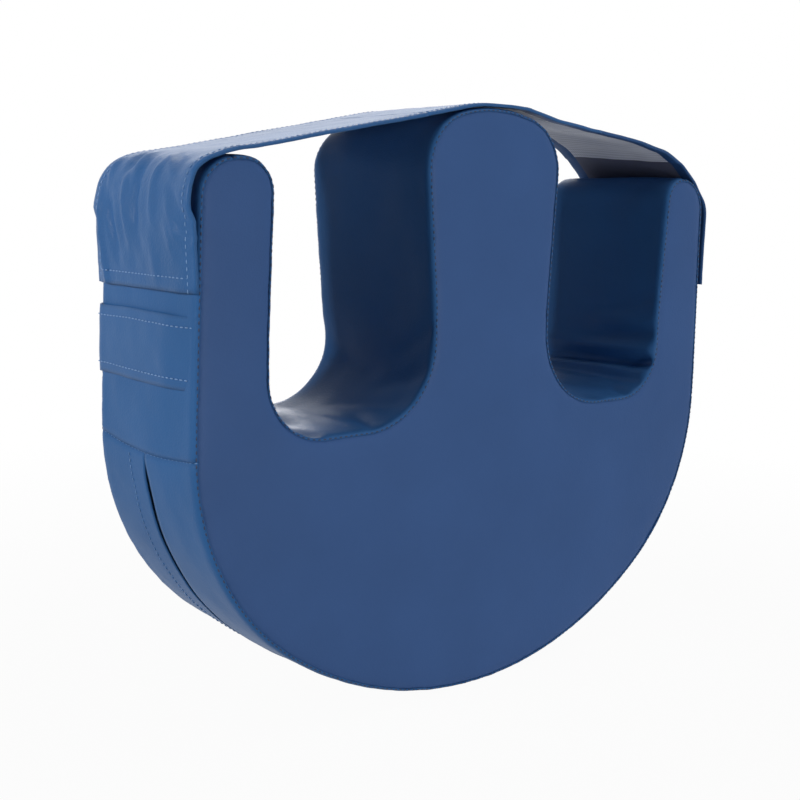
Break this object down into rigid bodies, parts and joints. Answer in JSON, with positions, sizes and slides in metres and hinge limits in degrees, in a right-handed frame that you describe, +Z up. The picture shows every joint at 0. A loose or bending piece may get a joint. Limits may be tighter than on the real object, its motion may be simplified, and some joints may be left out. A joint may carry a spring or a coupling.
{
  "type": "leg turning cushion",
  "caption": "Rocker-based foam cushion with two U-shaped leg channels, a closing strap over the three prongs, hand bands on both sides and a zipped cover.",
  "frame": {"origin": "middle of the lowest line of the rocker base", "axes": "+Z up; +X across the leg channels, towards the strap's loose tail; +Y from the front panel to the back panel"},
  "size_m": [0.464, 0.118, 0.393],
  "materials": {
    "cover": "satin embossed PU leather",
    "strap_cover": "satin embossed PU leather",
    "band_cover": "satin embossed PU leather",
    "foam": "open-cell foam",
    "zip_cloth": "woven",
    "zip_coil": "nylon coil",
    "zip_metal": "satin",
    "tail_cloth": "woven",
    "hook_tape": "hook pile",
    "loop_tape": "brushed loop pile"
  },
  "bodies": {
    "cushion": {"foam_core": "foam", "front_panel": "cover", "back_panel": "cover", "channel_lining": "cover", "right_side_panel": "cover", "left_side_panel": "cover", "base_strip_front": "cover", "base_strip_rear": "cover", "zip_tape_front": "zip_cloth", "zip_tape_rear": "zip_cloth", "zip_coil_front": "zip_coil", "zip_coil_rear": "zip_coil", "zip_top_stop_front": "zip_metal", "zip_top_stop_rear": "zip_metal", "zip_bottom_stop": "zip_metal", "strap_anchor": "strap_cover", "loop_tape": "loop_tape", "left_hand_band": "band_cover", "right_hand_band": "band_cover"},
    "strap_left": {"strap_span_left": "strap_cover"},
    "strap_right": {"strap_span_right": "strap_cover"},
    "tail": {"strap_tail": "strap_cover", "tail_facing": "tail_cloth", "hook_tape": "hook_tape"},
    "slider": {"zip_slider": "zip_metal"},
    "pull": {"zip_pull_tab": "zip_metal"}
  },
  "joints": [
    {"name": "strap_lift", "type": "hinge", "parent": "cushion", "child": "strap_left", "pos_m": [-0.2, 0, 0.35519], "axis": [0, -1, 0], "range_deg": [0, 170]},
    {"name": "strap_fold", "type": "hinge", "parent": "strap_left", "child": "strap_right", "pos_m": [0.032, 0, 0.39138], "axis": [0, -1, 0], "range_deg": [0, 120]},
    {"name": "tail_peel", "type": "hinge", "parent": "strap_right", "child": "tail", "pos_m": [0.176, 0, 0.36989], "axis": [0, -1, 0], "range_deg": [0, 100]},
    {"name": "zip_run", "type": "hinge", "parent": "cushion", "child": "slider", "pos_m": [0, -0.003, 0.23716], "axis": [0, 1, 0], "range_deg": [0, 125]},
    {"name": "pull_swing", "type": "hinge", "parent": "slider", "child": "pull", "pos_m": [0.20854, -0.003, 0.12869], "axis": [0, -1, 0], "range_deg": [-24, 120]}
  ]
}
